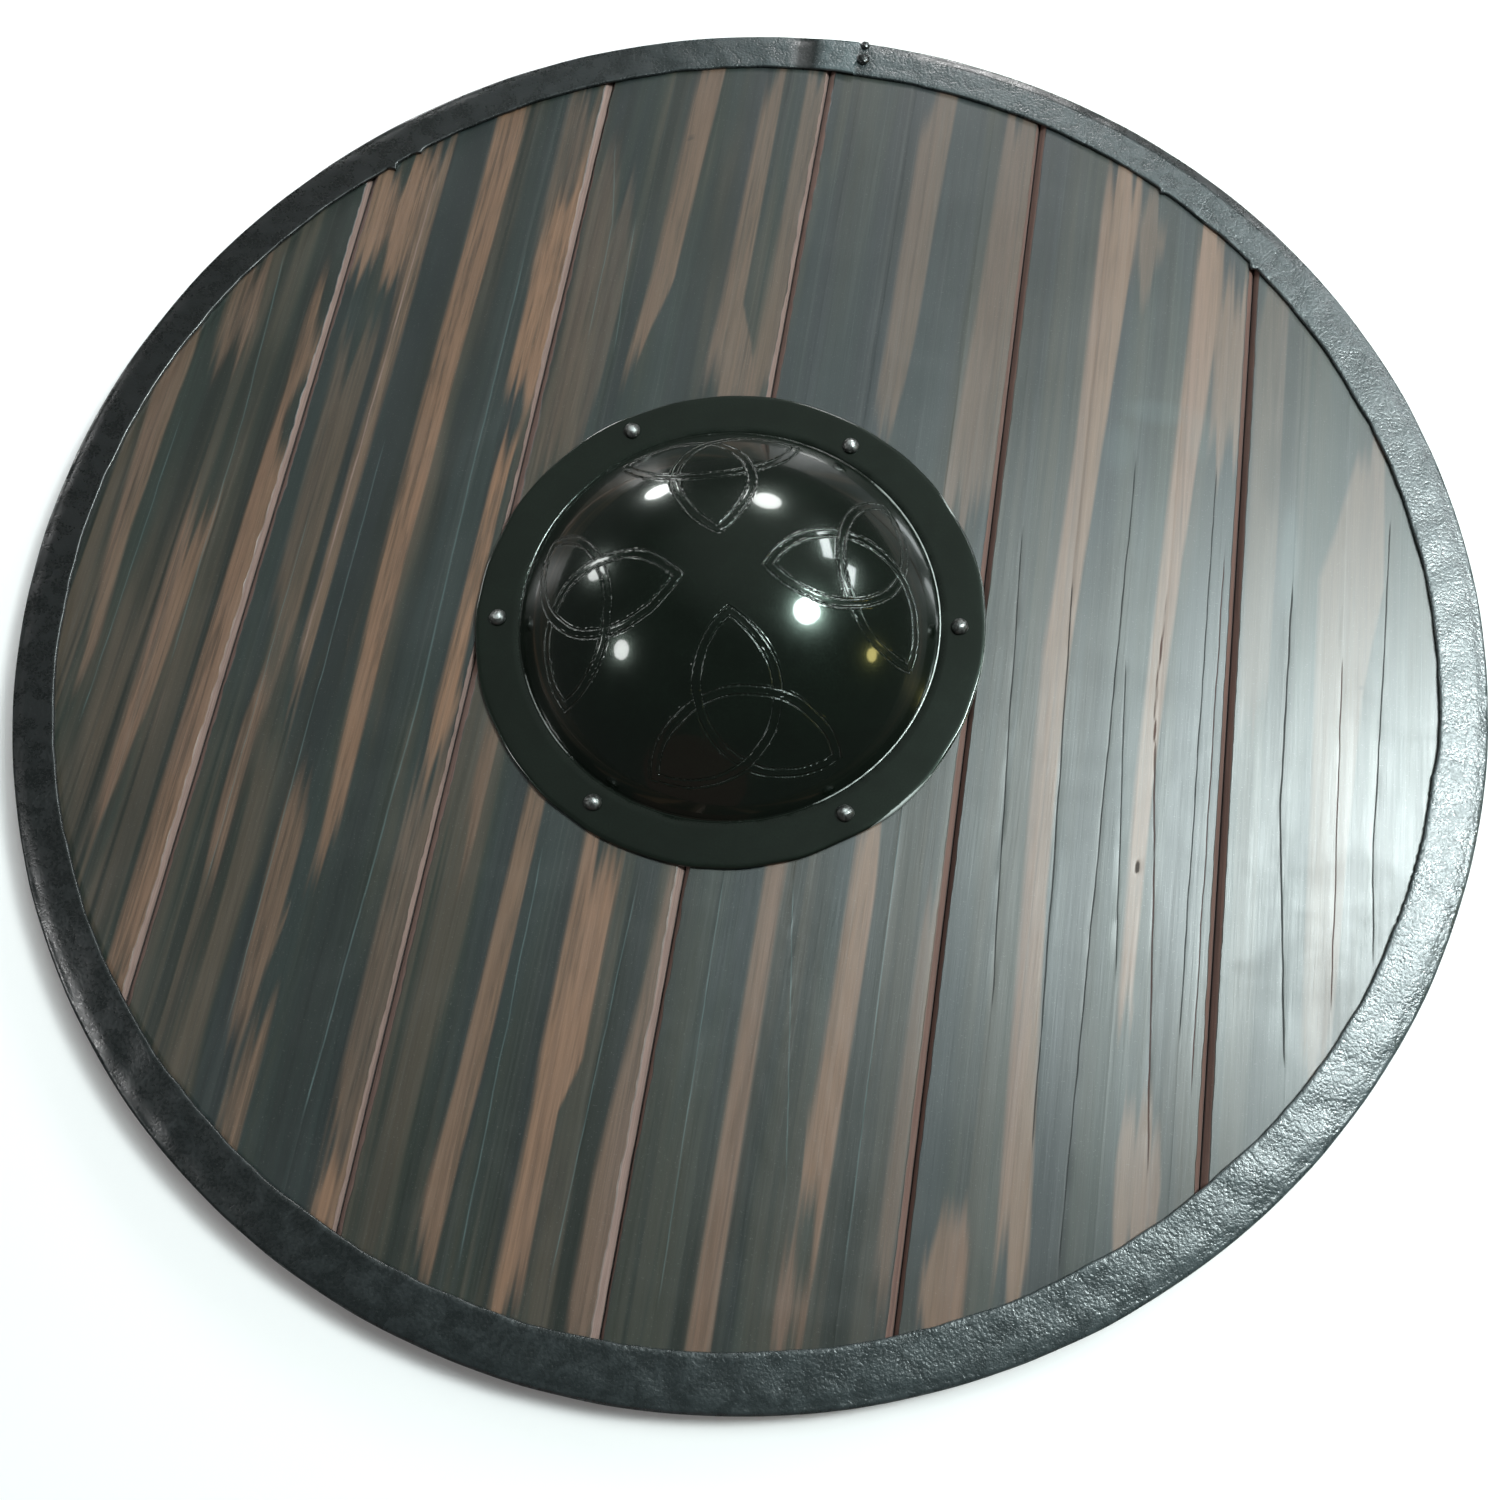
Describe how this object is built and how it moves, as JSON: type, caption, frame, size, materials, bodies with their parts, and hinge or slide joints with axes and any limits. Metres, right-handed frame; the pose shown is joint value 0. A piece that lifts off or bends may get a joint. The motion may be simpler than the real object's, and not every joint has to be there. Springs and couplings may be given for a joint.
{
  "type": "wooden round shield",
  "caption": "Round wooden shield lying on its back: dark boards in a folded black steel rim, a domed steel boss engraved with trinity knots, domed rivets and a wooden grip behind.",
  "frame": {"origin": "on the resting plane, straight below the middle of the rim", "axes": "+Z out of the face the boss stands on, +Y along the boards towards the rim's lapped joint, +X to the right seen from the front"},
  "size_m": [0.61, 0.61, 0.0652],
  "materials": {
    "board_wood": "satin lacquer over dark wood with brown streaks",
    "rim_steel": "black paint, semi-matt, hammered",
    "boss_steel": "gloss black",
    "rivet_steel": "dull grey steel",
    "grip_wood": "oiled plain wood"
  },
  "bodies": {
    "root": {"board_1": "board_wood", "board_2": "board_wood", "board_3": "board_wood", "board_4": "board_wood", "board_5": "board_wood", "board_6": "board_wood", "rim": "rim_steel", "boss": "boss_steel", "rivet_1": "rivet_steel", "rivet_2": "rivet_steel", "rivet_3": "rivet_steel", "rivet_4": "rivet_steel", "rivet_5": "rivet_steel", "rivet_6": "rivet_steel", "grip": "grip_wood"}
  },
  "joints": []
}
